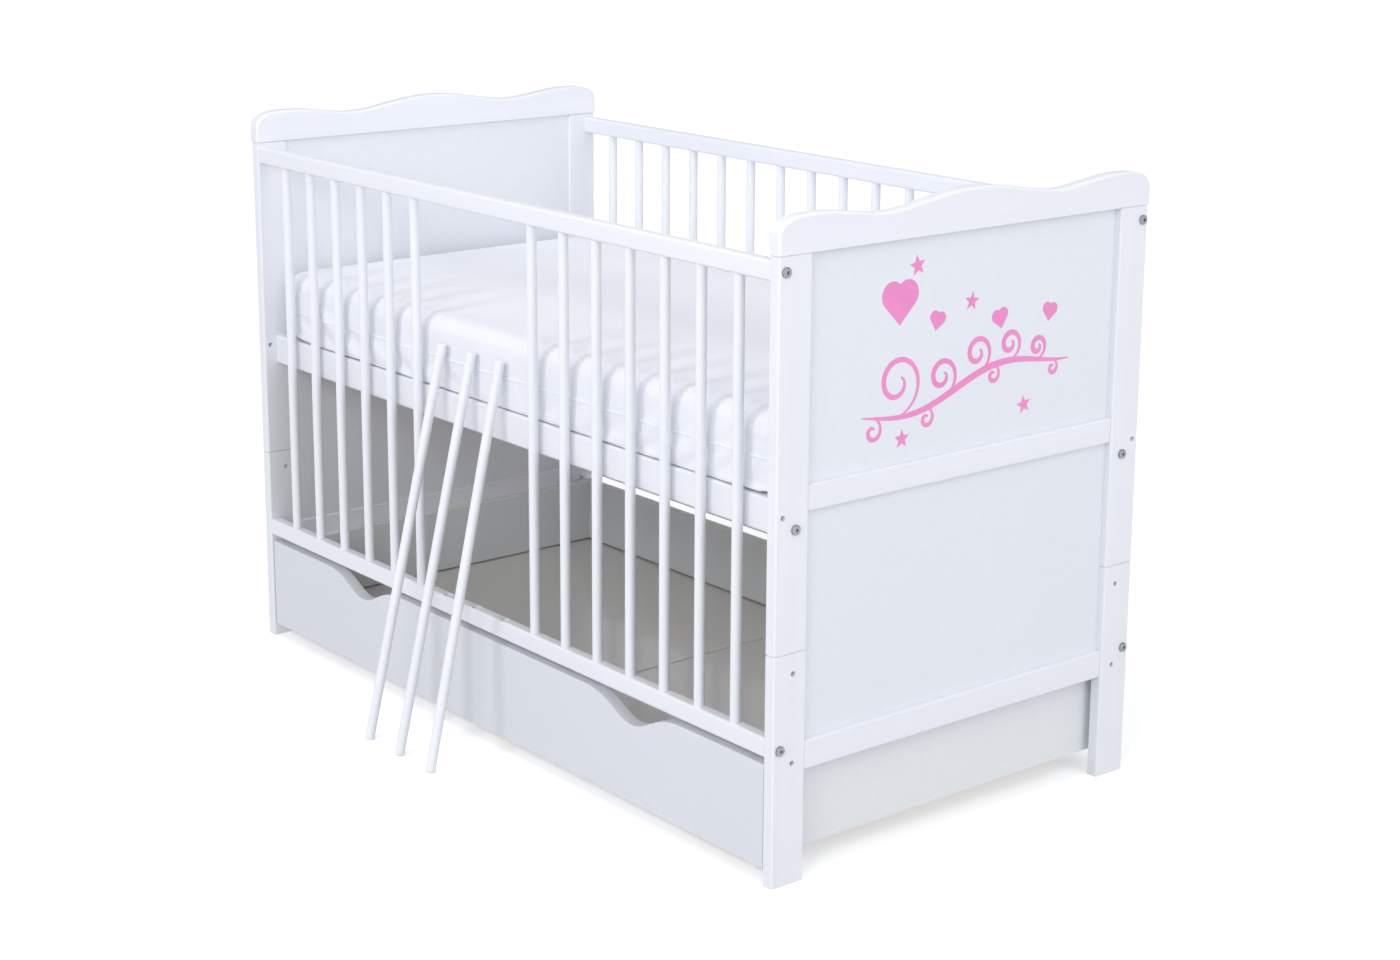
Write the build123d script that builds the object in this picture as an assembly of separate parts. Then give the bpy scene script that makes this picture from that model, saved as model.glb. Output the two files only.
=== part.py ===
from build123d import *
import math
import os

# Baby cot with a slatted base at three heights, a mattress, an underbed drawer on castors
# and three front slats taken out. Millimetres, +Z up, +X along the length, front at -Y.
# Every piece is drawn about the middle of the cot on the floor; write_parts() then moves
# the whole model so that the origin is the middle of the footprint, slat feet included.

# Cot outline
inner_length = 1205
post_thickness = 18
post_width = 52
overall_width = 642
leg_height = 302
post_top = 794
half_inner = inner_length / 2
half_length = half_inner + post_thickness
half_width = overall_width / 2
post_centre_x = half_inner + post_thickness / 2
post_inner_y = half_width - post_width

# Rails and panels of the end frames
end_rail_thickness = 15
end_rail_recess = 2.5
end_rail_x = half_length - end_rail_recess - end_rail_thickness / 2
mid_rail_z = (476, 510)
low_rail_z = (145, 183)
panel_thickness = 4
panel_recess = 10.5
panel_x = half_length - panel_recess - panel_thickness / 2
groove_depth = 8
groove_gap = 0.2
end_rail_chamfer = 1
shadow_gap_height = 1
shadow_gap_depth = 2.5
panel_tongue = 7

# Crest on each end: overhang past the posts and heights above its underside
crest_overhang = 1.5
crest_end_height = 44
crest_shoulder_height = 46.5
crest_dip_height = 36
crest_middle_height = 52.5
crest_dip_y = 172
crest_side_height = 20
crest_shoulder_width = 58
crest_round = 4

# Dowels of the end frames, drawn at the right front corner
low_rail_dowel_z = (151, 169)
mid_rail_dowel_z = (493,)
leg_dowel_y = (-half_width + 15, -half_width + 37)
crest_dowel_y = (-half_width + 18, -half_width + 38)
short_dowel_length = 30

# Slatted sides
side_rail_thickness = 18
side_rail_recess = 1.5
side_rail_y = half_width - side_rail_recess - side_rail_thickness / 2
bottom_rail_z = (168, 194)
top_rail_z = (761, 787)
slat_radius = 7
slat_pitch = 71.5
slat_count = 16
socket_radius = slat_radius + 0.1
fixed_socket_depth = 15
loose_foot_depth = 5
loose_head_depth = 12
loose_places = (6, 7, 8)
rail_round = 4
slat_chamfer = 1

# Slats taken out and leaned on the mattress: foot and head of each one's middle line
loose_length = 575
loose_foot_y = -442
loose_head_y = -304.5
loose_slat_x = ((-119, -122), (-40, -48), (39, 21))

# Mattress base
base_rail_z = (445, 490)
base_rail_thickness = 18
base_rail_y = 290.3
base_slat_thickness = 10
base_slat_width = 55
base_slat_count = 12
ledger_height = 20
base_inner_y = base_rail_y - base_rail_thickness / 2
base_end_x = half_inner - 1
base_end_gap = 14
base_dowel_z = (470, 482)
base_screw_y = base_inner_y - base_rail_thickness / 2
base_screw_length = 24

# Mattress
mattress_length = 1192
mattress_width = 592
mattress_height = 105
mattress_clearance = 0.3
mattress_corner_round = 30
mattress_edge_round = 14

# Drawer
drawer_front_z = (20, 158)
drawer_front_thickness = 18
drawer_front_recess = 3
drawer_front_gap = 2.5
drawer_wall_thickness = 14
drawer_wall_z = (32, 158)
drawer_wall_x = 587
drawer_back_y = 297
drawer_floor_z = (50, 54)
drawer_joint_gap = 3
drawer_groove_gap = (0.1, 2)
drawer_dowel_z = (75, 130)
drawer_dowel_length = 24
drawer_screw_z = (70, 100, 130)
drawer_screw_length = 40
joint_strip_width = 24
joint_strip_flange = 1.2
bearer_x = (-480, 0, 480)
bearer_width = 40
bearer_height = 14
scallop_x = 333
scallop_width = 196
scallop_depth = 28
drawer_front_y = -half_width + drawer_front_recess + drawer_front_thickness / 2
drawer_inner_y = drawer_front_y + drawer_front_thickness / 2

# Castors under the drawer
wheel_radius = 15
wheel_width = 14
axle_radius = 2.5
axle_clearance = 0.1
castor_plate_thickness = 1.5
castor_plate_size = (34, 44)
castor_cheek_width = 20
castor_cheek_gap = 1
castor_screw_offset = 17
castor_screw_length = 12
castor_screw_head = 2
castor_x = (-480, 480)
castor_y = (-200, 220)

# Bolts, cross nuts, dowels and screws
bolt_radius = 3
bolt_length = 55
bolt_hole_radius = 3.4
empty_hole_radius = 3.5
bolt_head_radius = 6.5
bolt_head_height = 3.5
nut_radius = 5
nut_length = 12
nut_depth = 30
nut_gap = 0.1
nut_thread_gap = 0.05
bolt_bore_length = 42
bolt_dome = 1.6
dowel_radius = 4
dowel_length = 40
dowel_fit = 0.05
screw_radius = 1.75
screw_head_radius = 3.5
screw_head_height = 2
screw_fit = 0.1
side_bolt_y = side_rail_y
side_bolt_z = (181, 774)
base_bolt_z = 458.5
empty_side_hole_z = 476
empty_base_hole_z = (160, 276)

# Motif on one end panel
motif_thickness = 0.3

# General edge roundings
edge_round = 3
small_round = 2
end_chamfer = 1.4


def block(x, y, z):
    """Box between two limits on each axis."""
    centre = ((x[0] + x[1]) / 2, (y[0] + y[1]) / 2, (z[0] + z[1]) / 2)
    return Pos(*centre) * Box(x[1] - x[0], y[1] - y[0], z[1] - z[0])


def bar(x, y, z, along, radius=edge_round):
    """Box with its four long edges rounded."""
    solid = block(x, y, z)
    return fillet(solid.edges().filter_by(along), radius)


def eased(solid, axis, ends, size):
    """The piece with the edges of its two end faces chamfered."""
    edges = solid.edges().filter_by_position(axis, ends[0], ends[0])
    edges += solid.edges().filter_by_position(axis, ends[1], ends[1])
    return chamfer(edges, size)


def span(centre, width):
    """Limits of a width about a centre."""
    return (centre - width / 2, centre + width / 2)


def rod(start, end, radius):
    """Round bar between two points."""
    start, end = Vector(*start), Vector(*end)
    plane = Plane(origin=start, z_dir=(end - start).normalized())
    return extrude(plane * Circle(radius), (end - start).length)


def dowel_hole(middle, along, length=dowel_length):
    """Hole for a dowel, 1 mm longer than the dowel at each end."""
    return dowel(middle, along, length + 2, dowel_radius + dowel_fit)


def dowel(middle, along, length=dowel_length, radius=dowel_radius):
    """Wooden dowel about its middle point."""
    half = Vector(*along) * (length / 2)
    middle = Vector(*middle)
    return rod(tuple(middle - half), tuple(middle + half), radius)


def cut(solid, tools):
    """The solid less every tool."""
    for tool in tools:
        solid = solid - tool
    return solid


def to_left(solid):
    """The same piece at the other end."""
    return mirror(solid, about=Plane.YZ)


def to_back(solid):
    """The same piece on the other side."""
    return mirror(solid, about=Plane.XZ)


def four_corners(solid):
    """The piece of the right front corner, at all four corners."""
    return [solid, to_back(solid), to_left(solid), to_left(to_back(solid))]


# End frames, drawn at the right end

def rail_dowels(shape, heights):
    """Dowels, or their holes, between a front post or leg and the end rails."""
    return [shape((end_rail_x, -post_inner_y, z), (0, 1, 0)) for z in heights]


def leg_dowels(shape):
    """Dowels, or their holes, across the joint of post and leg."""
    return [shape((post_centre_x, y, leg_height), (0, 0, 1)) for y in leg_dowel_y]


def crest_dowels(shape):
    """Dowels, or their holes, between the front post and the crest."""
    length = short_dowel_length
    return [shape((post_centre_x, y, post_top), (0, 0, 1), length) for y in crest_dowel_y]


def post_hole(y, z, radius):
    """Hole through a post along the length of the cot."""
    return rod((half_inner - 1, y, z), (half_length + 1, y, z), radius)


def post_groove(z):
    """Groove in a front post's inner edge for the end panels."""
    width = panel_thickness + groove_gap
    return block(span(panel_x, width), (-post_inner_y - groove_depth, -post_inner_y + 1), z)


def post_blank(z):
    """Stretch of the right front post with rounded edges and slightly eased ends."""
    solid = bar((half_inner, half_length), (-half_width, -post_inner_y), z, Axis.Z)
    return eased(solid, Axis.Z, z, end_chamfer)


def shadow_gap(z):
    """Rebate round the foot of the upper post, a fine shadow line above the leg."""
    depth, heights = shadow_gap_depth, (z, z + shadow_gap_height)
    around = block((half_inner - 1, half_length + 1), (-half_width - 1, -post_inner_y + 1), heights)
    core = block((half_inner + depth, half_length - depth),
                 (-half_width + depth, -post_inner_y - depth), heights)
    return around - core


def front_post():
    """Upper length of the post, above the leg joint."""
    holes = [
        shadow_gap(leg_height),
        post_hole(-side_bolt_y, side_bolt_z[1], bolt_hole_radius),
        post_hole(-base_rail_y, base_bolt_z, bolt_hole_radius),
        post_hole(-side_bolt_y, empty_side_hole_z, empty_hole_radius),
        post_groove((leg_height - 1, post_top + 1)),
    ]
    holes += rail_dowels(dowel_hole, mid_rail_dowel_z)
    holes += leg_dowels(dowel_hole) + crest_dowels(dowel_hole)
    return cut(post_blank((leg_height, post_top)), holes)


def front_leg():
    """Leg, doweled under the post."""
    holes = [post_hole(-side_bolt_y, side_bolt_z[0], bolt_hole_radius)]
    holes += [post_hole(-base_rail_y, z, empty_hole_radius) for z in empty_base_hole_z]
    holes += [post_groove((low_rail_z[1] - groove_depth, leg_height + 1))]
    holes += rail_dowels(dowel_hole, low_rail_dowel_z) + leg_dowels(dowel_hole)
    return cut(post_blank((0, leg_height)), holes)


def end_rail(z, groove_tops, dowel_heights):
    """Rail between the posts, grooved for the panels that meet it."""
    length = (-post_inner_y, post_inner_y)
    solid = bar(span(end_rail_x, end_rail_thickness), length, z, Axis.Y)
    solid = eased(solid, Axis.Y, length, end_rail_chamfer)
    width = panel_thickness + groove_gap
    holes = []
    for top in groove_tops:
        edge = z[1] if top else z[0]
        depth = (edge - groove_depth, edge + 1) if top else (edge - 1, edge + groove_depth)
        holes.append(block(span(panel_x, width), (-post_inner_y - 1, post_inner_y + 1), depth))
    near = rail_dowels(dowel_hole, dowel_heights)
    return cut(solid, holes + near + [to_back(hole) for hole in near])


def end_panel(low, high):
    """Thin panel held in the grooves round it."""
    half = post_inner_y + panel_tongue
    return block(span(panel_x, panel_thickness), (-half, half), (low - panel_tongue, high))


def crest_outline():
    """Face of the crest: rounded shoulders, two dips and a raised middle."""
    half = half_width + crest_overhang
    base = post_top
    corner = (half, base + crest_side_height)
    shoulder = (half - crest_side_height, base + crest_end_height - 1)
    outer_top = (half - crest_shoulder_width, base + crest_shoulder_height)
    dip = (crest_dip_y - 18, base + crest_dip_height)
    middle = (0, base + crest_middle_height)
    right = [
        Line((half, base), corner),
        Spline([corner, shoulder, outer_top], tangents=[(0, 1), (-1, 0)]),
        Spline([outer_top, dip, middle], tangents=[(-1, 0), (-1, 0)]),
    ]
    left = [mirror(edge, about=Plane.YZ) for edge in right]
    floor = Line((-half, base), (half, base))
    return make_face(Curve() + right + left + floor)


def crest():
    """Crest along the top of the end frame."""
    plane = Plane(origin=(post_centre_x, 0, 0), x_dir=(0, 1, 0), z_dir=(1, 0, 0))
    thickness = post_thickness + 2 * crest_overhang
    solid = extrude(plane * crest_outline(), thickness / 2, both=True)
    faces = solid.faces().sort_by(Axis.X)
    edges = faces[0].edges() + faces[-1].edges()
    bottom = edges.filter_by_position(Axis.Z, post_top, post_top + 0.01)
    solid = fillet([edge for edge in edges if edge not in bottom], crest_round)
    groove = block(span(panel_x, panel_thickness + groove_gap),
                   (-post_inner_y - panel_tongue - 1, post_inner_y + panel_tongue + 1),
                   (post_top - 1, post_top + groove_depth))
    near = crest_dowels(dowel_hole)
    return cut(solid, [groove] + near + [to_back(hole) for hole in near])


def end_frame():
    """Every piece of the right end frame that has its own node, by name."""
    post, leg = front_post(), front_leg()
    return {
        "front_post": post,
        "back_post": to_back(post),
        "front_leg": leg,
        "back_leg": to_back(leg),
        "crest": crest(),
        "mid_rail": end_rail(mid_rail_z, (False, True), mid_rail_dowel_z),
        "low_rail": end_rail(low_rail_z, (True,), low_rail_dowel_z),
        "upper_panel": end_panel(mid_rail_z[1], post_top + panel_tongue),
        "lower_panel": end_panel(low_rail_z[1], mid_rail_z[0] + panel_tongue),
    }


def frame_dowels():
    """All dowels of both end frames and of the mattress base."""
    near = rail_dowels(dowel, low_rail_dowel_z + mid_rail_dowel_z)
    near += leg_dowels(dowel) + crest_dowels(dowel) + base_dowels(dowel)
    return [piece for one in near for piece in four_corners(one)]


# Slatted sides, drawn at the front

def slat_x(place):
    """Middle of a slat, counted from the left."""
    return (place - (slat_count - 1) / 2) * slat_pitch


def bolt_bore(y, z):
    """Bore in a rail's right end for a bolt."""
    return rod((half_inner - bolt_bore_length, y, z), (half_inner + 1, y, z), bolt_hole_radius)


def nut_hole(y, z, along, reach):
    """Cross hole for a nut, from past the nut's far end out through one face of the rail."""
    start = Vector(half_inner - nut_depth, y, z)
    back, out = Vector(*along) * (nut_length / 2 + nut_gap), Vector(*along) * (reach + 1)
    return rod(tuple(start - back), tuple(start + out), nut_radius + nut_gap)


def bolted_rail(y, z, bolt_z, nut_along, nut_reach):
    """Front rail between the posts, bored at both ends for a bolt and its cross nut."""
    solid = bar((-half_inner, half_inner), span(-y, side_rail_thickness), z, Axis.X, rail_round)
    bores = [bolt_bore(-y, bolt_z), nut_hole(-y, bolt_z, nut_along, nut_reach)]
    return cut(solid, bores + [to_left(bore) for bore in bores])


def side_rail(z, face, fixed_depth, loose_depth, loose):
    """Side rail with a blind socket for each slat, in its top or its bottom face."""
    middle = (z[0] + z[1]) / 2
    solid = bolted_rail(side_rail_y, z, middle, (0, 0, -1), middle - z[0])
    edge = z[1] if face == "top" else z[0]
    inward = -1 if face == "top" else 1
    for place in range(slat_count):
        depth = loose_depth if place in loose else fixed_depth
        start = (slat_x(place), -side_rail_y, edge - inward)
        end = (slat_x(place), -side_rail_y, edge + inward * depth)
        solid = solid - rod(start, end, socket_radius)
    return solid


def slat(place):
    """Round slat glued into both rails."""
    low = bottom_rail_z[1] - fixed_socket_depth
    high = top_rail_z[0] + fixed_socket_depth
    solid = rod((slat_x(place), -side_rail_y, low), (slat_x(place), -side_rail_y, high), slat_radius)
    return chamfer(solid.edges().filter_by(GeomType.CIRCLE), slat_chamfer)


def loose_slat(foot_x, head_x):
    """Slat that was lifted out, standing on its foot's lower edge and leaning back."""
    sideways = head_x - foot_x
    back = loose_head_y - loose_foot_y
    rise = math.sqrt(loose_length**2 - sideways**2 - back**2)
    lean = math.acos(rise / loose_length)
    foot_z = slat_radius * math.sin(lean)
    start = (foot_x, loose_foot_y, foot_z)
    solid = rod(start, (head_x, loose_head_y, foot_z + rise), slat_radius)
    return chamfer(solid.edges().filter_by(GeomType.CIRCLE), slat_chamfer)


def side_frames():
    """Rails and fixed slats of both sides, by name."""
    no_gap = ()
    sockets = (fixed_socket_depth, loose_foot_depth)
    heads = (fixed_socket_depth, loose_head_depth)
    left = [place for place in range(slat_count) if place < min(loose_places)]
    right = [place for place in range(slat_count) if place > max(loose_places)]
    return {
        "front_bottom_rail": side_rail(bottom_rail_z, "top", *sockets, loose_places),
        "front_top_rail": side_rail(top_rail_z, "bottom", *heads, loose_places),
        "back_bottom_rail": to_back(side_rail(bottom_rail_z, "top", *sockets, no_gap)),
        "back_top_rail": to_back(side_rail(top_rail_z, "bottom", *heads, no_gap)),
        "front_slats_left": [slat(place) for place in left],
        "front_slats_right": [slat(place) for place in right],
        "back_slats": [to_back(slat(place)) for place in range(slat_count)],
    }


# Bolts and cross nuts

def bolt(y, z):
    """Bolt through the right end's post, its domed head outside."""
    x = half_length
    head = rod((x, y, z), (x + bolt_head_height, y, z), bolt_head_radius)
    rim = head.edges().filter_by(GeomType.CIRCLE).sort_by(Axis.X)[-1]
    head = fillet(rim, bolt_dome)
    drive = extrude(Plane(origin=(x + 1.4, y, z), z_dir=(1, 0, 0)) * RegularPolygon(2.3, 6), 5)
    return head + rod((x + 0.1, y, z), (x - bolt_length, y, z), bolt_radius) - drive


def cross_nut(y, z, along):
    """Cylinder nut across the rail, with its cross hole on the bolt's line."""
    x, reach = half_inner - nut_depth, nut_radius + 4
    solid = dowel((x, y, z), along, nut_length, nut_radius)
    return solid - rod((x - reach, y, z), (x + reach, y, z), bolt_radius + nut_thread_gap)


def side_nut(y, z):
    """Nut let into a side rail from below."""
    return cross_nut(y, z, (0, 0, 1))


def base_nut(y, z):
    """Nut let into a base rail from inside."""
    return cross_nut(y, z, (0, 1, 0))


def at_bolts(shape, places):
    """The same fastener at every corner and height."""
    return [piece for y, z in places for piece in four_corners(shape(-y, z))]


# Mattress base

def base_dowels(shape):
    """Dowels, or their holes, between the front rail and the right end rail of the base."""
    x = base_end_x - base_rail_thickness / 2
    return [shape((x, -base_inner_y, z), (0, 1, 0), short_dowel_length) for z in base_dowel_z]


def base_frame():
    """Long rails, end rails, ledgers and slats of the mattress base, by name."""
    near = base_dowels(dowel_hole)
    far = [to_back(hole) for hole in near]
    half = base_rail_thickness / 2
    front = bolted_rail(base_rail_y, base_rail_z, base_bolt_z, (0, 1, 0), half)
    front = cut(front, near + [to_left(hole) for hole in near])
    inner = (-base_inner_y, base_inner_y)
    end = bar((base_end_x - base_rail_thickness, base_end_x), inner, base_rail_z, Axis.Y)
    end = cut(end, near + far)
    ledger_top = base_rail_z[1] - base_slat_thickness
    ledger_x = base_end_x - base_rail_thickness - 0.5
    ledger = block((-ledger_x, ledger_x), (-base_inner_y, -base_inner_y + base_rail_thickness),
                   (ledger_top - ledger_height, ledger_top))
    ledger = cut(ledger, [base_screw(x, -base_screw_y, screw_fit) for x in base_slat_x()])
    return {
        "base_front_rail": front,
        "base_back_rail": to_back(front),
        "base_right_rail": end,
        "base_left_rail": to_left(end),
        "base_front_ledger": ledger,
        "base_back_ledger": to_back(ledger),
        "base_slats": [base_slat(x) for x in base_slat_x()],
    }


def base_slat_x():
    """Middles of the base slats, evenly spaced."""
    room = base_end_x - base_rail_thickness - base_slat_width / 2 - base_end_gap
    step = 2 * room / (base_slat_count - 1)
    return [-room + step * place for place in range(base_slat_count)]


def base_screw(x, y, fit=0.0):
    """Countersunk screw through a base slat into the ledger, or its hole."""
    top = base_rail_z[1]
    shank = rod((x, y, top - base_screw_length - fit), (x, y, top), screw_radius + fit)
    sunk = top - screw_head_height
    head = rod((x, y, sunk - fit), (x, y, top + fit), screw_head_radius + fit)
    return shank + head


def base_slat(x):
    """Flat slat across the base, screwed at both ends."""
    solid = bar(span(x, base_slat_width), (-base_inner_y + 0.5, base_inner_y - 0.5),
                (base_rail_z[1] - base_slat_thickness, base_rail_z[1]), Axis.Y, small_round)
    return cut(solid, [base_screw(x, side * base_screw_y, screw_fit) for side in (-1, 1)])


def mattress():
    """Plain closed block of the mattress's size."""
    low = base_rail_z[1] + mattress_clearance
    solid = block(span(0, mattress_length), span(0, mattress_width), (low, low + mattress_height))
    solid = fillet(solid.edges().filter_by(Axis.Z), mattress_corner_round)
    return fillet(solid.edges(), mattress_edge_round)


# Drawer

def scallop(x):
    """Finger scallop: an arc with reversed shoulders cut from the front's top edge."""
    top, half, depth = drawer_front_z[1], scallop_width / 2, scallop_depth
    edge = Spline([(x - half, top), (x, top - depth), (x + half, top)],
                  tangents=[(1, 0), (1, 0), (1, 0)])
    lid = Polyline((x + half, top), (x + half, top + 5), (x - half, top + 5), (x - half, top))
    plane = Plane(origin=(0, drawer_front_y, 0), x_dir=(1, 0, 0), z_dir=(0, -1, 0))
    return extrude(plane * make_face(Curve() + [edge, lid]), drawer_front_thickness, both=True)


def drawer_groove():
    """Groove for the drawer bottom on the inside of front, sides and back."""
    below, above = drawer_groove_gap
    return block((-drawer_wall_x - 1, drawer_wall_x + 1), (drawer_inner_y - 6, drawer_back_y + 1),
                 (drawer_floor_z[0] - below, drawer_floor_z[1] + above))


def drawer_dowels(shape):
    """Dowels, or their holes, between the drawer's front and its sides."""
    length = drawer_dowel_length
    places = [(side * drawer_wall_x, z) for side in (-1, 1) for z in drawer_dowel_z]
    return [shape((x, drawer_inner_y, z), (0, 1, 0), length) for x, z in places]


def drawer_screws(fit=0.0):
    """Screws through the drawer's back into its sides, or their holes."""
    back = drawer_back_y + drawer_wall_thickness / 2
    made = []
    for x in (-drawer_wall_x, drawer_wall_x):
        for z in drawer_screw_z:
            tip, sunk = back - drawer_screw_length, back - screw_head_height
            shank = rod((x, tip - fit, z), (x, back, z), screw_radius + fit)
            head = rod((x, sunk - fit, z), (x, back + fit, z), screw_head_radius + fit)
            made.append(shank + head)
    return made


def drawer_box():
    """Front, sides, back, bottoms, joining strip and bearers of the drawer, by name."""
    wall = drawer_wall_thickness
    front = bar((-half_inner + drawer_front_gap, half_inner - drawer_front_gap),
                span(drawer_front_y, drawer_front_thickness), drawer_front_z, Axis.X, small_round)
    front = cut(front, [scallop(-scallop_x), scallop(scallop_x)])
    inner_back_y = drawer_back_y - wall / 2
    side = block(span(drawer_wall_x, wall), (drawer_inner_y, inner_back_y), drawer_wall_z)
    side = fillet(side.edges().filter_by(Axis.Y).group_by(Axis.Z)[-1], small_round)
    outer_x = drawer_wall_x + wall / 2
    back = block((-outer_x, outer_x), span(drawer_back_y, wall), drawer_wall_z)
    groove, holes = drawer_groove(), drawer_dowels(dowel_hole)
    screws = drawer_screws(screw_fit)
    side = cut(side, [groove] + holes + screws)
    return {
        "drawer_front": cut(front, [groove] + holes),
        "drawer_right_side": side,
        "drawer_left_side": to_left(side),
        "drawer_back": cut(back, [groove] + screws),
    }


def drawer_floor():
    """Two thin bottom panels, the strip that joins them and the bearers, by name."""
    inner_x = drawer_wall_x - drawer_wall_thickness / 2
    inner_back_y = drawer_back_y - drawer_wall_thickness / 2
    length = (drawer_inner_y - 5, inner_back_y + 5)
    panel = block((drawer_joint_gap / 2, inner_x + 5), length, drawer_floor_z)
    depth = (drawer_inner_y, inner_back_y)
    web = block(span(0, drawer_joint_gap - 0.2), depth, drawer_floor_z)
    low, high = drawer_floor_z
    flange, across = joint_strip_flange, span(0, joint_strip_width)
    strip = web + block(across, depth, (high, high + flange))
    strip = strip + block(across, depth, (low - flange, low))
    bearers = []
    for x in bearer_x:
        top = low - flange if x == 0 else low
        bearers.append(block(span(x, bearer_width), depth, (top - bearer_height, top)))
    screws = castor_screws(screw_fit)
    bearers = [cut(bearer, screws) for bearer in bearers]
    return {
        "drawer_right_bottom": panel,
        "drawer_left_bottom": to_left(panel),
        "drawer_joint_strip": strip,
        "drawer_bearers": bearers,
    }


def castor_screws(fit=0.0):
    """Pan-head screws up through the castor plates into the bearers, or their holes."""
    under = drawer_floor_z[0] - bearer_height - castor_plate_thickness
    made = []
    for x, y in [(x, y + side * castor_screw_offset) for x in castor_x for y in castor_y
                 for side in (-1, 1)]:
        shank = rod((x, y, under), (x, y, under + castor_screw_length + fit), screw_radius + fit)
        made.append(shank + rod((x, y, under - castor_screw_head), (x, y, under), screw_head_radius))
    return made


def castor_bracket(x, y):
    """Bent plate under a bearer, with two cheeks that hold the axle."""
    top = drawer_floor_z[0] - bearer_height
    t = castor_plate_thickness
    cheek_x = wheel_width / 2 + castor_cheek_gap
    length, depth = castor_plate_size
    solid = block(span(x, length), span(y, depth), (top - t, top))
    for side in (-1, 1):
        middle = x + side * (cheek_x + t / 2)
        cheek = block(span(middle, t), span(y, castor_cheek_width), (wheel_radius / 1.5, top - t))
        solid = solid + fillet(cheek.edges().filter_by(Axis.X).group_by(Axis.Z)[0], 5)
    reach = cheek_x + t + 1
    centre = wheel_radius
    solid = solid - rod((x - reach, y, centre), (x + reach, y, centre), axle_radius + dowel_fit)
    return cut(solid, castor_screws(screw_fit))


def castor_axle(x, y):
    """Axle riveted through both cheeks."""
    reach = wheel_width / 2 + castor_cheek_gap + castor_plate_thickness + 0.8
    return rod((x - reach, y, wheel_radius), (x + reach, y, wheel_radius), axle_radius)


def castor_wheel(x, y):
    """Plastic wheel with a crowned rim and a hub bore."""
    half = wheel_width / 2
    start, end = (x - half, y, wheel_radius), (x + half, y, wheel_radius)
    solid = rod(start, end, wheel_radius)
    solid = fillet(solid.edges().filter_by(GeomType.CIRCLE), 2)
    for side in (-1, 1):
        face = x + side * half
        ring = rod((face, y, wheel_radius), (face - side * 2, y, wheel_radius), wheel_radius - 4)
        hub = rod((face, y, wheel_radius), (face - side * 2, y, wheel_radius), axle_radius + 2.5)
        solid = solid - (ring - hub)
    return solid - rod((x - half - 1, y, wheel_radius), (x + half + 1, y, wheel_radius),
                       axle_radius + axle_clearance)


# Motif on the right end panel: a rising vine with hearts and stars

motif_plane = Plane(origin=(panel_x + panel_thickness / 2, 0, 0), x_dir=(0, 1, 0), z_dir=(1, 0, 0))


def star(y, z, radius, turn):
    """Five-pointed star."""
    inner = radius * 0.42
    points = []
    for step in range(10):
        reach = radius if step % 2 == 0 else inner
        angle = math.radians(turn + 36 * step)
        points.append((y - reach * math.sin(angle), z + reach * math.cos(angle)))
    return make_face(Polyline(*points, close=True))


def heart(y, z, size, turn):
    """Square stood on its corner with a half disc on each upper side."""
    lobe = size / 2
    shape = Rectangle(size, size)
    shape = shape + Pos(0, lobe) * Circle(lobe) + Pos(lobe, 0) * Circle(lobe)
    return Pos(y, z) * Rot(0, 0, 45 + turn) * shape


def vine_stem(share):
    """Point on the vine's rising stem, from 0 at its left end to 1."""
    y = -176 + 364 * share
    z = 572 + 44 * share + 13 * math.sin(2 * math.pi * (1.25 * share + 0.45))
    return Vector(y, z)


def curl(root, radius, turns, start):
    """Points of a spiral that leaves the stem and winds in, by the share of its length."""
    centre = root - Vector(math.cos(math.radians(start)), math.sin(math.radians(start))) * radius

    def place(share):
        reach = radius * (1 - 0.8 * share**0.8)
        angle = math.radians(start) + 2 * math.pi * turns * share
        return centre + Vector(math.cos(angle), math.sin(angle)) * reach

    return place


def ribbon(place, thickness, steps):
    """Film along a curve, thickest in its middle and nearly pointed at its ends."""
    points = [place(step / steps) for step in range(steps + 1)]
    upper, lower = [], []
    for step, point in enumerate(points):
        along = points[min(step + 1, steps)] - points[max(step - 1, 0)]
        half = thickness / 2 * math.sin(math.pi * step / steps) ** 0.7 + 0.7
        across = Vector(-along.Y, along.X).normalized() * half
        upper.append(point + across)
        lower.append(point - across)
    sides = [Spline(upper), Spline(lower)]
    ends = [Line(upper[0], lower[0]), Line(upper[-1], lower[-1])]
    return make_face(Curve() + sides + ends)


def vine():
    """Rising vine with curls above and small ones below, as one piece of film."""
    above = ((0.16, 44), (0.37, 29), (0.54, 27), (0.70, 22), (0.84, 17))
    below = ((0.05, 17), (0.30, 14), (0.62, 13), (0.92, 11))
    film = extrude(motif_plane * ribbon(vine_stem, 8, 16), motif_thickness)
    for share, radius in above:
        spiral = curl(vine_stem(share), radius, 1.4, -90)
        film = film + extrude(motif_plane * ribbon(spiral, 6, 20), motif_thickness)
    for share, radius in below:
        spiral = curl(vine_stem(share), radius, -1.15, 90)
        film = film + extrude(motif_plane * ribbon(spiral, 4.5, 16), motif_thickness)
    return film


def motif():
    """Vine, hearts and stars as thin film on the panel."""
    shapes = [
        heart(-116, 710, 36, 0),
        heart(-52, 681, 16, -14),
        heart(60, 670, 17, 12),
        heart(150, 668, 16, -10),
        star(-88, 756, 14, 8),
        star(8, 700, 13, -8),
        star(108, 552, 13, 10),
        star(-108, 540, 13, 0),
    ]
    return [vine()] + [extrude(motif_plane * shape, motif_thickness) for shape in shapes]


# The whole cot

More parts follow.
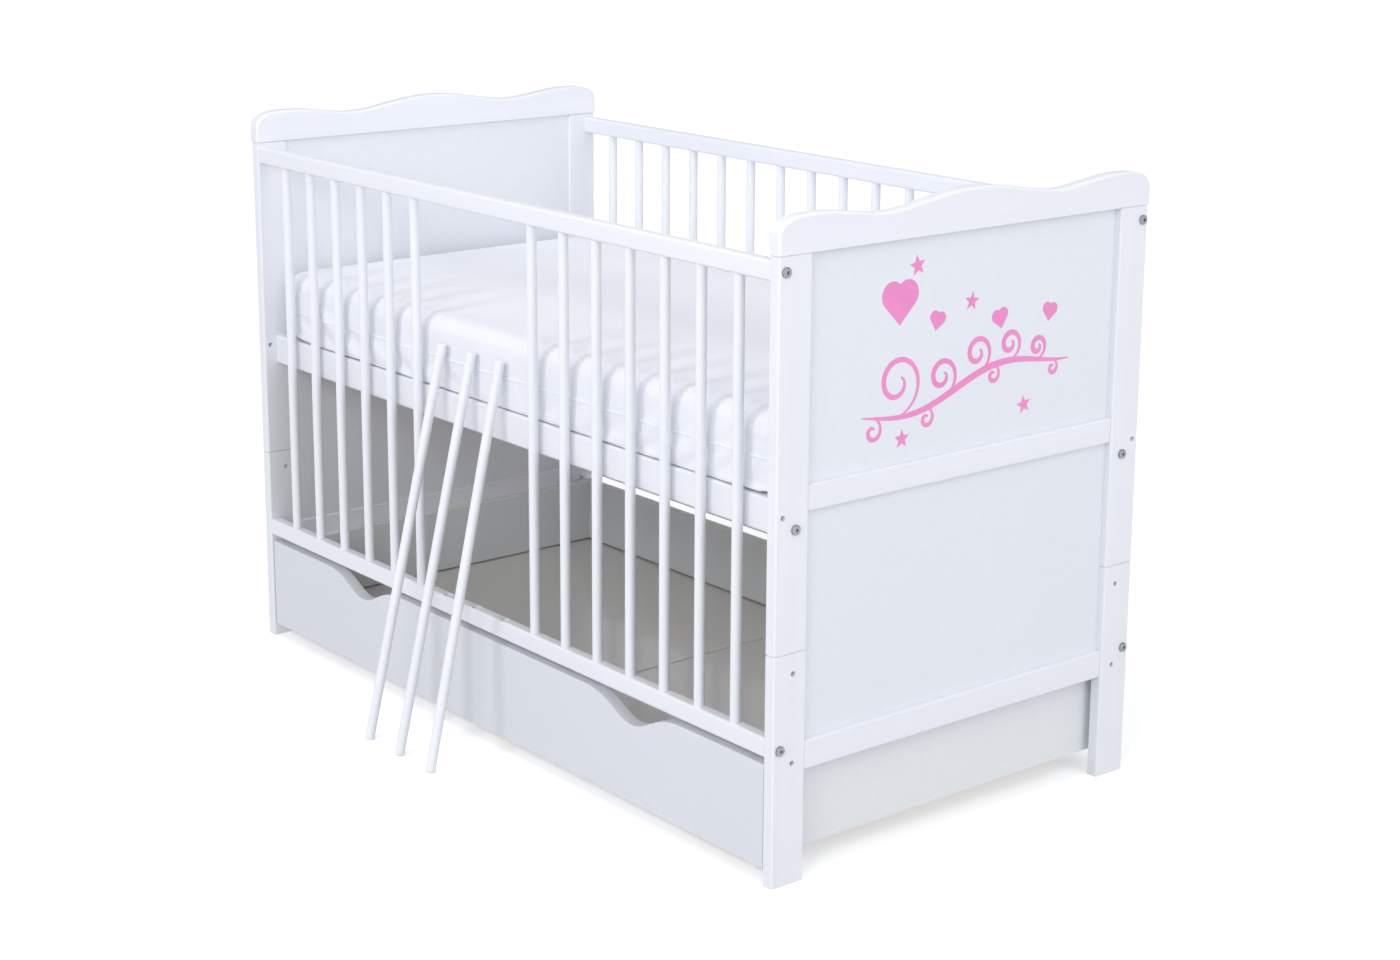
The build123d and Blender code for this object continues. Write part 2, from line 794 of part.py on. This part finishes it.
def all_parts():
    """Every node's solids, by node name."""
    parts = {}
    for name, piece in end_frame().items():
        parts["right_" + name] = piece
        parts["left_" + name] = to_left(piece)
    parts["frame_dowels"] = frame_dowels()
    parts.update(side_frames())
    rail_places = [(side_bolt_y, z) for z in side_bolt_z]
    base_places = [(base_rail_y, base_bolt_z)]
    parts["side_bolts"] = at_bolts(bolt, rail_places)
    parts["side_cross_nuts"] = at_bolts(side_nut, rail_places)
    parts["base_bolts"] = at_bolts(bolt, base_places)
    parts["base_cross_nuts"] = at_bolts(base_nut, base_places)
    parts.update(base_frame())
    screw_y = (-base_screw_y, base_screw_y)
    parts["base_screws"] = [base_screw(x, y) for x in base_slat_x() for y in screw_y]
    parts["mattress"] = mattress()
    parts.update(drawer_box())
    parts.update(drawer_floor())
    parts["drawer_dowels"] = drawer_dowels(dowel)
    parts["drawer_screws"] = drawer_screws()
    corners = [(x, y) for x in castor_x for y in castor_y]
    parts["castor_brackets"] = [castor_bracket(x, y) for x, y in corners]
    parts["castor_axles"] = [castor_axle(x, y) for x, y in corners]
    parts["castor_screws"] = castor_screws()
    for number, (x, y) in enumerate(corners, 1):
        parts[f"castor_wheel_{number}"] = castor_wheel(x, y)
    for number, (foot_x, head_x) in enumerate(loose_slat_x, 1):
        parts[f"loose_slat_{number}"] = loose_slat(foot_x, head_x)
    parts["panel_motif"] = motif()
    return parts


def write_parts():
    """Moves the model so that the origin is under the middle of its box, and writes it."""
    os.makedirs("parts", exist_ok=True)
    made = {}
    for name, piece in all_parts().items():
        solids = piece if isinstance(piece, list) else [piece]
        made[name] = [solid for shape in solids for solid in shape.solids()]
    boxes = [solid.bounding_box() for solids in made.values() for solid in solids]
    low = [min(tuple(box.min)[axis] for box in boxes) for axis in range(3)]
    high = [max(tuple(box.max)[axis] for box in boxes) for axis in range(3)]
    shift = Pos(0, -(low[1] + high[1]) / 2, -low[2])
    for name, solids in made.items():
        moved = [shift * solid for solid in solids]
        shape = moved[0] if len(moved) == 1 else Compound(children=moved)
        export_step(shape, f"parts/{name}.step")
    print("nodes", len(made), "shift of the footprint's middle", shift.position)
    print("size", [round(high[axis] - low[axis], 2) for axis in range(3)])


write_parts()
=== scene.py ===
import math

import bmesh
import bpy
import numpy as np
from mathutils import Matrix, Vector, noise
from mathutils.bvhtree import BVHTree


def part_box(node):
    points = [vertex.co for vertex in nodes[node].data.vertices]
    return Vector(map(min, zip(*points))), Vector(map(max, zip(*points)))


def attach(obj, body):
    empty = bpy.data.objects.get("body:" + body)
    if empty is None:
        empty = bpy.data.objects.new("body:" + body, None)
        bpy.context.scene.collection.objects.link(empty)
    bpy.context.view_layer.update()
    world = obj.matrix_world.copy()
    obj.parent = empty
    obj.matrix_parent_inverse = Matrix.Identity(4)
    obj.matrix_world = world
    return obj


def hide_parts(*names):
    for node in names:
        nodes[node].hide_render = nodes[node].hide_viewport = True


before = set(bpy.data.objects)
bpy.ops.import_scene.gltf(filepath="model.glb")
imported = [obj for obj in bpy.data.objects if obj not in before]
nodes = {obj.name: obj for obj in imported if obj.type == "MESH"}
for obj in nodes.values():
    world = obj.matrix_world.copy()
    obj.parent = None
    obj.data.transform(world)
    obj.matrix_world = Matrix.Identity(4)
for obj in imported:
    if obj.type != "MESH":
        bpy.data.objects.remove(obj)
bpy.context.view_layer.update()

# A white slatted baby cot: CAD pieces keep their shapes and get painted, wooden, metal and
# plastic materials. The mattress is replaced by a woven cover, which cloth simulation settles
# a little loosely over a foam block, with a seam round its sides. Metres throughout.

# Camera and light
camera_place = (2.76145, -2.11556, 1.30799)
camera_yaw, camera_pitch, camera_roll = 50.90, -13.51, 0.35
camera_lens = 63.79
camera_shift = -0.06
sensor_width = 36
clip_range = (0.05, 200)
sky_colour = (0.958, 0.970, 1.015)
sky_horizon = 0.97
sky_level = 0.59
sky_reach = 0.35
floor_size = 60
floor_tones = (0.95, 0.97)
floor_roughness = 0.9
floor_glow = (0.26, 0.48)
floor_glow_radius = (0.9, 3.0)
lamps = [
    ("key", (0.3, -3.4, 2.6), 0.9, 37),
    ("front_right", (2.2, -3.2, 2.0), 1.3, 33),
    ("overhead", (0.2, -0.2, 3.6), 2.4, 18),
    ("overhead_right", (2.6, -0.6, 3.2), 2.0, 13),
    ("right", (4.2, 0.6, 1.8), 2.0, 35),
]
lamp_aim = (0, 0, 0.45)

# Paints and bare materials
white_paint = (0.80, 0.815, 0.86)
slat_paint = (0.82, 0.835, 0.875)
panel_paint = (0.76, 0.785, 0.83)
drawer_paint = (0.70, 0.72, 0.765)
wall_board = (0.75, 0.775, 0.79)
floor_board = (0.65, 0.655, 0.635)
cover_white = (0.82, 0.835, 0.885)
pink = (0.83, 0.25, 0.55)
pine_dark, pine_light = (0.52, 0.33, 0.16), (0.78, 0.58, 0.35)
beech_dark, beech_light = (0.55, 0.36, 0.22), (0.72, 0.52, 0.34)
zinc_dark, zinc_light = (0.24, 0.25, 0.27), (0.36, 0.37, 0.39)
wheel_grey = (0.045, 0.045, 0.05)
paint_roughness, slat_roughness = 0.36, 0.34
paint_coat, paint_coat_roughness = 0.15, 0.22
paint_grain, paint_peel = 0.1225, 0.175
paint_ior, board_ior = 1.47, 1.46
board_pearl = 0.4
lacquer_roughness = 0.12
plastic_grit = 700
wave_spacing = 0.3183
cover_rib, seam_rib = 0.0032, 0.0016
seam_lightness = 1.04

# Mattress
voxel = 0.007
cover_inset = 0.001
cover_rounds = (0.038, 0.026, 0.007)
foam_inset = 0.005
foam_rounds = (0.036, 0.022, 0.006)
corner_segments, edge_segments = 8, 6
cover_quality = 6
cover_mass = 0.25
cover_stretch, cover_shear = 18, 6
cover_gap = 0.001
cover_pinned_height = 0.004
cover_shrink = -0.009
cover_bending = 2.5
cover_pressure = 0.6
cover_frames = 24
cover_reach = 0.006
side_bulge = 0.0045
doorway_x, doorway_half = -0.045, 0.115
seam_corner = 0.04
seam_height = 0.045
seam_waver, seam_waver_rate = 0.002, 5
seam_start = 0.05
seam_width = 0.0035
seam_thickness = 0.0022
seam_step = 0.008
turn_step = 10
seam_sides = 8
tiny = 1e-9


# Node materials

def put(tree, kind, settings=None, **inputs):
    """Adds a node, sets its options, and sets or links its inputs by name."""
    made = tree.nodes.new(kind)
    for name, value in (settings or {}).items():
        setattr(made, name, value)
    for name, value in inputs.items():
        socket = made.inputs[name.replace("_", " ")]
        if isinstance(value, bpy.types.NodeSocket):
            tree.links.new(value, socket)
        else:
            socket.default_value = value
    return made


def blank(name):
    """New material with only its output and shader; returns it with its tree and shader."""
    made = bpy.data.materials.new(name)
    made.use_nodes = True
    tree = made.node_tree
    tree.nodes.clear()
    shader = tree.nodes.new("ShaderNodeBsdfPrincipled")
    output = tree.nodes.new("ShaderNodeOutputMaterial")
    tree.links.new(shader.outputs["BSDF"], output.inputs["Surface"])
    return made, tree, shader


def place(tree, scale=(1, 1, 1)):
    """Coordinates in metres on the object, stretched by a scale."""
    coords = put(tree, "ShaderNodeTexCoord").outputs["Object"]
    return put(tree, "ShaderNodeMapping", Vector=coords, Scale=scale).outputs["Vector"]


def speckle(tree, scale, detail=3.0, stretch=(1, 1, 1), roughness=0.5):
    """Noise of a given fineness, per metre."""
    where = place(tree, stretch)
    return put(tree, "ShaderNodeTexNoise", Vector=where, Scale=scale, Detail=detail,
               Roughness=roughness).outputs["Fac"]


def ranged(tree, value, low, high, start=0.0, end=1.0):
    """Maps a value onto a range."""
    return put(tree, "ShaderNodeMapRange", Value=value, From_Min=start, From_Max=end,
               To_Min=low, To_Max=high).outputs["Result"]


def shades(tree, factor, dark, light):
    """Blend between two colours."""
    mix = put(tree, "ShaderNodeMix", {"data_type": "RGBA"})
    tree.links.new(factor, mix.inputs[0])
    mix.inputs[6].default_value = (*dark, 1)
    mix.inputs[7].default_value = (*light, 1)
    return mix.outputs[2]


def weighted(tree, value, weight, other):
    """A value times a weight, plus another value."""
    made = put(tree, "ShaderNodeMath", {"operation": "MULTIPLY_ADD"})
    tree.links.new(value, made.inputs[0])
    made.inputs[1].default_value = weight
    tree.links.new(other, made.inputs[2])
    return made.outputs[0]


def size_of(tree, value):
    """A value without its sign."""
    made = put(tree, "ShaderNodeMath", {"operation": "ABSOLUTE"})
    tree.links.new(value, made.inputs[0])
    return made.outputs[0]


def scaled(colour, factor):
    """The colour made lighter or darker."""
    return tuple(channel * factor for channel in colour)


def relief(tree, height, distance, strength, under=None):
    """Bump from a height, over another bump."""
    made = put(tree, "ShaderNodeBump", Height=height, Distance=distance, Strength=strength)
    if under is not None:
        tree.links.new(under, made.inputs["Normal"])
    return made.outputs["Normal"]


def along(axis, fine, coarse):
    """Stretch for a grain that runs along one axis."""
    return tuple(coarse if index == "xyz".index(axis) else fine for index in range(3))


def paint(name, colour, axis, roughness):
    """Sprayed white paint: faint wood grain, orange peel and slow changes of tone."""
    made, tree, shader = blank(name)
    fibre = speckle(tree, 1.0, 6, along(axis, 260, 7), 0.62)
    streak = speckle(tree, 1.0, 3, along(axis, 45, 1.6), 0.5)
    cloud = speckle(tree, 4.5, 3)
    factor = ranged(tree, weighted(tree, cloud, 0.65, streak), 0, 1, 0.5, 1.15)
    colours = shades(tree, factor, scaled(colour, 0.975), scaled(colour, 1.02))
    tree.links.new(colours, shader.inputs["Base Color"])
    tree.links.new(ranged(tree, fibre, roughness - 0.06, roughness + 0.08), shader.inputs["Roughness"])
    first = relief(tree, fibre, 0.0004, paint_grain)
    second = relief(tree, speckle(tree, 620, 2), 0.0003, paint_peel, first)
    tree.links.new(second, shader.inputs["Normal"])
    shader.inputs["IOR"].default_value = paint_ior
    shader.inputs["Coat Weight"].default_value = paint_coat
    shader.inputs["Coat Roughness"].default_value = paint_coat_roughness
    return made


def board(name, colour, roughness, coat=0.0):
    """Coated board: fine pearl texture with a faint cast of tone, under a clear coat if it has one."""
    made, tree, shader = blank(name)
    fine = speckle(tree, 950, 2)
    wide = speckle(tree, 3.2, 3)
    fibre = speckle(tree, 90, 4)
    factor = ranged(tree, weighted(tree, wide, 0.8, fibre), 0, 1, 0.55, 1.25)
    colours = shades(tree, factor, scaled(colour, 0.98), scaled(colour, 1.015))
    tree.links.new(colours, shader.inputs["Base Color"])
    tree.links.new(ranged(tree, fine, roughness - 0.05, roughness + 0.07), shader.inputs["Roughness"])
    first = relief(tree, fine, 0.0002, board_pearl)
    tree.links.new(relief(tree, fibre, 0.0006, 0.12, first), shader.inputs["Normal"])
    shader.inputs["IOR"].default_value = board_ior
    shader.inputs["Coat Weight"].default_value = coat
    shader.inputs["Coat Roughness"].default_value = lacquer_roughness
    return made


def timber(name, dark, light, axis, roughness, rings=34):
    """Bare planed wood: growth rings drawn out along the grain, pores and a few darker streaks."""
    made, tree, shader = blank(name)
    wobble = put(tree, "ShaderNodeTexNoise", Vector=place(tree, along(axis, 9, 0.8)), Scale=1.0,
                 Detail=3.0)
    bent = put(tree, "ShaderNodeVectorMath", {"operation": "MULTIPLY_ADD"})
    tree.links.new(wobble.outputs["Color"], bent.inputs[0])
    bent.inputs[1].default_value = (0.05, 0.05, 0.05)
    tree.links.new(place(tree, along(axis, 1, 0.06)), bent.inputs[2])
    ring = put(tree, "ShaderNodeTexWave", {"wave_type": "RINGS", "rings_direction": axis.upper()},
               Vector=bent.outputs[0], Scale=rings, Distortion=2.2, Detail=3.0,
               Detail_Scale=1.4).outputs["Fac"]
    pore = speckle(tree, 1.0, 5, along(axis, 900, 16), 0.6)
    streak = speckle(tree, 1.0, 3, along(axis, 26, 1.2))
    factor = ranged(tree, weighted(tree, ring, 0.55, streak), 0, 1, 0.35, 1.1)
    tree.links.new(shades(tree, factor, dark, light), shader.inputs["Base Color"])
    tree.links.new(ranged(tree, pore, roughness - 0.1, roughness + 0.1), shader.inputs["Roughness"])
    first = relief(tree, pore, 0.0004, 0.35)
    tree.links.new(relief(tree, ring, 0.0006, 0.12, first), shader.inputs["Normal"])
    return made


def zinc(name):
    """Zinc plated steel: crystalline tone, fine scratches and a dull shine."""
    made, tree, shader = blank(name)
    crystal = put(tree, "ShaderNodeTexVoronoi", Vector=place(tree), Scale=900.0).outputs["Color"]
    grey = put(tree, "ShaderNodeSeparateColor", Color=crystal).outputs["Red"]
    scratch = speckle(tree, 1.0, 4, (2600, 2600, 300), 0.6)
    colours = shades(tree, grey, zinc_dark, zinc_light)
    tree.links.new(colours, shader.inputs["Base Color"])
    tree.links.new(ranged(tree, scratch, 0.24, 0.44), shader.inputs["Roughness"])
    tree.links.new(relief(tree, scratch, 0.00006, 0.4), shader.inputs["Normal"])
    shader.inputs["Metallic"].default_value = 1.0
    return made


def moulded(name, colour, roughness):
    """Moulded plastic with a fine spark-eroded skin and slight scuffs."""
    made, tree, shader = blank(name)
    skin = speckle(tree, plastic_grit, 3)
    scuff = speckle(tree, 60, 5, roughness=0.7)
    factor = ranged(tree, scuff, 0, 1, 0.4, 0.75)
    tree.links.new(shades(tree, factor, colour, scaled(colour, 1.25)), shader.inputs["Base Color"])
    tree.links.new(ranged(tree, scuff, roughness - 0.05, roughness + 0.12), shader.inputs["Roughness"])
    tree.links.new(relief(tree, skin, 0.0002, 0.35), shader.inputs["Normal"])
    return made


def film(name, colour):
    """Thin satin film with a slight ripple where it follows the panel."""
    made, tree, shader = blank(name)
    tone = speckle(tree, 14, 3)
    factor = ranged(tree, tone, 0, 1, 0.35, 0.65)
    colours = shades(tree, factor, scaled(colour, 0.95), scaled(colour, 1.04))
    tree.links.new(colours, shader.inputs["Base Color"])
    grain = speckle(tree, 500, 2)
    tree.links.new(ranged(tree, grain, 0.36, 0.5), shader.inputs["Roughness"])
    tree.links.new(relief(tree, grain, 0.0002, 0.2), shader.inputs["Normal"])
    return made


def cloth(name, colour, rib):
    """Woven cloth: fine ribs along the length, a tighter weave across them, and soft nap."""
    made, tree, shader = blank(name)
    where = place(tree)
    warp = put(tree, "ShaderNodeTexWave", {"bands_direction": "Z"}, Vector=where,
               Scale=wave_spacing / rib, Distortion=1.2, Detail=2.0, Detail_Scale=1.0).outputs["Fac"]
    weft = put(tree, "ShaderNodeTexWave", {"bands_direction": "Y"}, Vector=where,
               Scale=wave_spacing / rib, Distortion=1.2, Detail=2.0, Detail_Scale=1.0).outputs["Fac"]
    side = put(tree, "ShaderNodeNewGeometry").outputs["Normal"]
    parts = put(tree, "ShaderNodeSeparateXYZ", Vector=side).outputs
    rows = put(tree, "ShaderNodeMix", {"data_type": "FLOAT"})
    tree.links.new(size_of(tree, parts["Z"]), rows.inputs[0])
    tree.links.new(warp, rows.inputs[2])
    tree.links.new(weft, rows.inputs[3])
    thread = put(tree, "ShaderNodeTexVoronoi", Vector=place(tree, (1, 1.6, 1.6)),
                 Scale=900.0).outputs["Distance"]
    cloud = speckle(tree, 7, 3)
    fluff = speckle(tree, 320, 4)
    factor = ranged(tree, cloud, 0, 1, 0.3, 0.7)
    colours = shades(tree, factor, scaled(colour, 0.975), scaled(colour, 1.01))
    tree.links.new(colours, shader.inputs["Base Color"])
    first = relief(tree, rows.outputs[0], 0.0006, 0.22)
    second = relief(tree, thread, 0.0004, 0.25, first)
    third = relief(tree, fluff, 0.0005, 0.2, second)
    tree.links.new(third, shader.inputs["Normal"])
    shader.inputs["Roughness"].default_value = 0.88
    shader.inputs["Sheen Weight"].default_value = 0.25
    shader.inputs["Sheen Roughness"].default_value = 0.5
    return made


def paint_nodes():
    """Gives every carried-over CAD node its material, with the grain along the piece."""
    upright = paint("paint_upright", white_paint, "z", paint_roughness)
    lengthwise = paint("paint_lengthwise", white_paint, "x", paint_roughness)
    crosswise = paint("paint_crosswise", white_paint, "y", paint_roughness)
    round_bar = paint("paint_slat", slat_paint, "z", slat_roughness)
    panel = board("paint_panel", panel_paint, 0.46)
    drawer_walls = board("board_drawer_walls", wall_board, 0.5)
    drawer_floor = board("board_drawer_floor", floor_board, 0.24, coat=1.0)
    pine_length = timber("pine_lengthwise", pine_dark, pine_light, "x", 0.55)
    pine_across = timber("pine_crosswise", pine_dark, pine_light, "y", 0.55)
    rules = [
        (("post", "leg"), upright),
        (("crest", "mid_rail", "low_rail", "base_left_rail", "base_right_rail"), crosswise),
        (("bottom_rail", "top_rail", "base_front_rail", "base_back_rail"), lengthwise),
        (("front_slats", "back_slats", "loose_slat"), round_bar),
        (("upper_panel", "lower_panel"), panel),
        (("drawer_front",), board("board_drawer_front", drawer_paint, 0.5)),
        (("drawer_back", "drawer_left_side", "drawer_right_side"), drawer_walls),
        (("left_bottom", "right_bottom", "strip"), drawer_floor),
        (("ledger",), pine_length),
        (("base_slats", "bearers"), pine_across),
        (("dowels",), timber("beech", beech_dark, beech_light, "y", 0.6, 60)),
        (("bolts", "nuts", "screws", "axles", "brackets"), zinc("zinc_plate")),
        (("wheel",), moulded("nylon_wheel", wheel_grey, 0.42)),
        (("motif",), film("pink_film", pink)),
    ]
    for name, node in nodes.items():
        for words, material in rules:
            if any(word in name for word in words):
                node.data.materials.clear()
                node.data.materials.append(material)
                break


# Mattress

def rounded_block(name, low, high, corner, top, bottom):
    """Block with round upright corners and round top and bottom edges."""
    made = bmesh.new()
    size = high - low
    middle = Matrix.Translation((low + high) / 2) @ Matrix.Diagonal((*size, 1))
    bmesh.ops.create_cube(made, size=1, matrix=middle)
    upright = [edge for edge in made.edges if abs(edge.verts[0].co.z - edge.verts[1].co.z) > 0.01]
    bmesh.ops.bevel(made, geom=upright, offset=corner, segments=corner_segments,
                    profile=0.5, affect="EDGES")
    for level, radius in ((high.z, top), (low.z, bottom)):
        rim = [edge for edge in made.edges
               if all(abs(vert.co.z - level) < 1e-5 for vert in edge.verts)]
        bmesh.ops.bevel(made, geom=rim, offset=radius, segments=edge_segments,
                        profile=0.5, affect="EDGES")
    mesh = bpy.data.meshes.new(name)
    made.to_mesh(mesh)
    made.free()
    solid = bpy.data.objects.new(name, mesh)
    bpy.context.scene.collection.objects.link(solid)
    return solid


def applied(piece):
    """Bakes the piece's modifiers into its mesh."""
    shape = piece.evaluated_get(bpy.context.evaluated_depsgraph_get())
    mesh = bpy.data.meshes.new_from_object(shape)
    old = piece.data
    piece.modifiers.clear()
    piece.data = mesh
    bpy.data.meshes.remove(old)


def points(piece):
    """The piece's vertices as an array."""
    flat = np.empty(len(piece.data.vertices) * 3)
    piece.data.vertices.foreach_get("co", flat)
    return flat.reshape(-1, 3)


def set_points(piece, places):
    """Moves the piece's vertices."""
    piece.data.vertices.foreach_set("co", np.asarray(places, float).ravel())
    piece.data.update()


def loosen(cover, low, high):
    """Lets the cover, cut a little large, settle in folds over the foam."""
    rest = points(cover)
    pinned = cover.vertex_groups.new(name="bottom")
    pinned.add([int(i) for i in np.nonzero(rest[:, 2] < low.z + cover_pinned_height)[0]], 1.0, "REPLACE")
    inset = Vector((foam_inset,) * 3)
    foam = rounded_block("foam", low + inset, high - inset, *foam_rounds)
    foam.modifiers.new("collision", "COLLISION")
    foam.collision.thickness_outer = cover_gap
    sim = cover.modifiers.new("cloth", "CLOTH")
    sim.settings.quality = cover_quality
    sim.settings.mass = cover_mass
    sim.settings.tension_stiffness = cover_stretch
    sim.settings.compression_stiffness = cover_stretch
    sim.settings.shear_stiffness = cover_shear
    sim.settings.bending_stiffness = cover_bending
    sim.settings.shrink_min = cover_shrink
    sim.settings.vertex_group_mass = "bottom"
    sim.settings.use_pressure = True
    sim.settings.uniform_pressure_force = cover_pressure
    sim.collision_settings.distance_min = cover_gap
    sim.point_cache.frame_start, sim.point_cache.frame_end = 1, cover_frames
    for step in range(1, cover_frames + 1):
        bpy.context.scene.frame_set(step)
    applied(cover)
    bpy.context.scene.frame_set(1)
    bpy.data.objects.remove(foam)
    moved = points(cover) - rest
    length = np.linalg.norm(moved, axis=1, keepdims=True)
    moved *= np.minimum(1, cover_reach / np.maximum(length, tiny))
    settled = rest + moved
    settled[:, 1] = np.clip(settled[:, 1], low.y - side_bulge, high.y + side_bulge)
    doorway = np.abs(settled[:, 0] - doorway_x) < doorway_half
    settled[doorway, 1] = np.maximum(settled[doorway, 1], low.y)
    settled[:, 2] = np.maximum(settled[:, 2], low.z)
    set_points(cover, settled)


def round_path(low, high, corner, step):
    """Points and outward directions round a rectangle with rounded corners."""
    path = []
    corners = [(high.x, high.y, 0), (low.x, high.y, 90), (low.x, low.y, 180), (high.x, low.y, 270)]
    for index, (x, y, start) in enumerate(corners):
        centre = Vector((x - math.copysign(corner, x - (low.x + high.x) / 2),
                         y - math.copysign(corner, y - (low.y + high.y) / 2), 0))
        for turn in range(start, start + 91, turn_step):
            out = Vector((math.cos(math.radians(turn)), math.sin(math.radians(turn)), 0))
            path.append((centre + out * corner, out))
        here, out = path[-1]
        far_x, far_y, _ = corners[(index + 1) % 4]
        length = (abs(far_x - x) if index % 2 == 0 else abs(far_y - y)) - 2 * corner
        ahead = Vector((-out.y, out.x, 0))
        for count in range(1, int(length / step)):
            path.append((here + ahead * count * step, out))
    return path


def piping(cover, low, high):
    """Seam cord round the cover's sides, laid on the surface that the cloth took."""
    tree = BVHTree.FromObject(cover, bpy.context.evaluated_depsgraph_get())
    made = bmesh.new()
    rings = []
    for place, out in round_path(low, high, seam_corner, seam_step):
        place.z = low.z + seam_height + seam_waver * noise.noise(place * seam_waver_rate)
        hit = tree.ray_cast(place + out * seam_start, -out, 2 * seam_start)[0]
        if hit is None:
            continue
        ring = []
        for turn in range(0, 360, 360 // seam_sides):
            rise, push = math.sin(math.radians(turn)), math.cos(math.radians(turn))
            at = hit + out * push * seam_thickness / 2 + Vector((0, 0, rise * seam_width / 2))
            ring.append(made.verts.new(at))
        rings.append(ring)
    for first, second in zip(rings, rings[1:] + rings[:1]):
        for one in range(seam_sides):
            two = (one + 1) % seam_sides
            made.faces.new((first[one], second[one], second[two], first[two]))
    mesh = bpy.data.meshes.new("mattress_seam")
    made.normal_update()
    made.to_mesh(mesh)
    made.free()
    seam = bpy.data.objects.new("mattress_seam", mesh)
    bpy.context.scene.collection.objects.link(seam)
    for polygon in mesh.polygons:
        polygon.use_smooth = True
    mesh.materials.append(cloth("seam_tape", scaled(cover_white, seam_lightness), seam_rib))
    return seam


def mattress():
    """Loose cover that stands for the mattress, with a seam round its sides."""
    low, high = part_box("mattress")
    inset = Vector((cover_inset, cover_inset, 0))
    cover = rounded_block("mattress_cover", low + inset, high - inset, *cover_rounds)
    remesh = cover.modifiers.new("remesh", "REMESH")
    remesh.mode = "VOXEL"
    remesh.voxel_size = voxel
    applied(cover)
    loosen(cover, low, high)
    for polygon in cover.data.polygons:
        polygon.use_smooth = True
    cover.modifiers.new("subdivision", "SUBSURF")
    cover.data.materials.clear()
    cover.data.materials.append(cloth("woven_cover", cover_white, cover_rib))
    seam = piping(cover, low, high)
    for piece in (cover, seam):
        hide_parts("mattress")
        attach(piece, "mattress")


# Studio

def studio():
    """Pale floor that melts into white surroundings, and soft lamps."""
    mesh = bpy.data.meshes.new("floor")
    half = floor_size / 2
    mesh.from_pydata([(-half, -half, 0), (half, -half, 0), (half, half, 0), (-half, half, 0)], [],
                     [(0, 1, 2, 3)])
    floor = bpy.data.objects.new("floor", mesh)
    bpy.context.scene.collection.objects.link(floor)
    floor.visible_diffuse = False
    made, tree, shader = blank("floor_sweep")
    tone = ranged(tree, speckle(tree, 1.5, 2), 0, 1)
    dark, light = ((grey,) * 3 for grey in floor_tones)
    tree.links.new(shades(tree, tone, dark, light), shader.inputs["Base Color"])
    shader.inputs["Roughness"].default_value = floor_roughness
    shader.inputs["Specular IOR Level"].default_value = 0.0
    shader.inputs["Emission Color"].default_value = (1, 1, 1, 1)
    reach = put(tree, "ShaderNodeVectorMath", {"operation": "LENGTH"})
    tree.links.new(place(tree), reach.inputs[0])
    glow = ranged(tree, reach.outputs["Value"], *floor_glow, *floor_glow_radius)
    tree.links.new(glow, shader.inputs["Emission Strength"])
    mesh.materials.append(made)
    world = bpy.data.worlds.new("studio")
    world.use_nodes = True
    tree = world.node_tree
    sky = tree.nodes["Background"]
    heading = put(tree, "ShaderNodeTexCoord").outputs["Generated"]
    level = put(tree, "ShaderNodeSeparateXYZ", Vector=heading).outputs["Z"]
    height = ranged(tree, size_of(tree, level), 0, 1, 0.0, sky_reach)
    tree.links.new(shades(tree, height, scaled(sky_colour, sky_horizon), scaled(sky_colour, sky_level)),
                   sky.inputs["Color"])
    bpy.context.scene.world = world
    for name, where, size, power in lamps:
        lamp(name, where, size, power)
    bpy.context.scene.view_settings.view_transform = "Standard"


def lamp(name, where, size, power):
    """Square soft light that faces the cot's middle."""
    data = bpy.data.lights.new(name, "AREA")
    data.size = size
    data.energy = power
    light = bpy.data.objects.new(name, data)
    light.location = where
    towards = Vector(lamp_aim) - Vector(where)
    light.rotation_euler = towards.to_track_quat("-Z", "Y").to_euler()
    bpy.context.scene.collection.objects.link(light)


def camera():
    """Camera at the front right, a little above the top rails."""
    data = bpy.data.cameras.new("camera")
    data.lens = camera_lens
    data.sensor_width = sensor_width
    data.sensor_fit = "HORIZONTAL"
    data.shift_y = camera_shift
    data.clip_start, data.clip_end = clip_range
    shot = bpy.data.objects.new("camera", data)
    turn = Matrix.Rotation(math.radians(camera_yaw), 4, "Z")
    tilt = Matrix.Rotation(math.radians(90 + camera_pitch), 4, "X")
    roll = Matrix.Rotation(math.radians(camera_roll), 4, "Z")
    shot.matrix_world = Matrix.Translation(camera_place) @ turn @ tilt @ roll
    bpy.context.scene.collection.objects.link(shot)
    bpy.context.scene.camera = shot


camera()
studio()
paint_nodes()
mattress()
